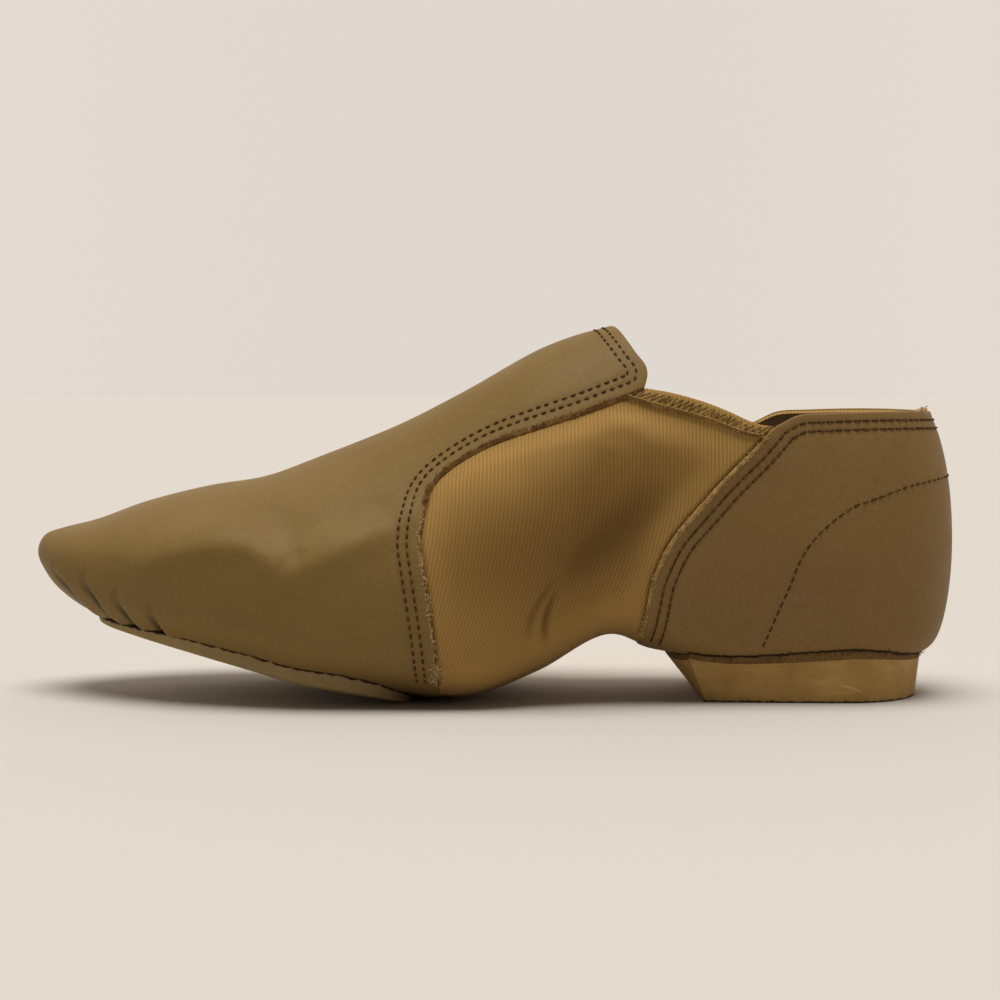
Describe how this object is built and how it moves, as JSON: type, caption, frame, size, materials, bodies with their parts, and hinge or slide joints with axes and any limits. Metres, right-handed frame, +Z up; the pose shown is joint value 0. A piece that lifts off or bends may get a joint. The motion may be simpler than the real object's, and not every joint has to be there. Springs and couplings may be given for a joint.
{
  "type": "jazz shoe",
  "caption": "Slip-on split-sole dance shoe with a leather vamp and counter, stretch side gores, a raised instep tab and a low slanted heel.",
  "frame": {"origin": "middle of the bounding box at floor level, under the arch", "axes": "+X from toe to heel, +Y towards the inner side of the foot, +Z up from the floor"},
  "size_m": [0.2517, 0.086, 0.1004],
  "materials": {
    "stretch_fabric": "matt ribbed stretch knit",
    "vamp_leather": "soft smooth tan leather, low sheen",
    "counter_leather": "soft smooth tan leather, low sheen",
    "sole_leather": "matt brushed leather",
    "seat_leather": "raw cut edge",
    "heel_board": "raw yellowish leather board, sanded",
    "insole_fabric": "plain pale cotton"
  },
  "bodies": {
    "root": {"upper": "stretch_fabric", "vamp": "vamp_leather", "counter": "counter_leather", "outsole_forefoot": "sole_leather", "heel_seat": "seat_leather", "heel_block": "heel_board", "insole": "insole_fabric"}
  },
  "joints": []
}
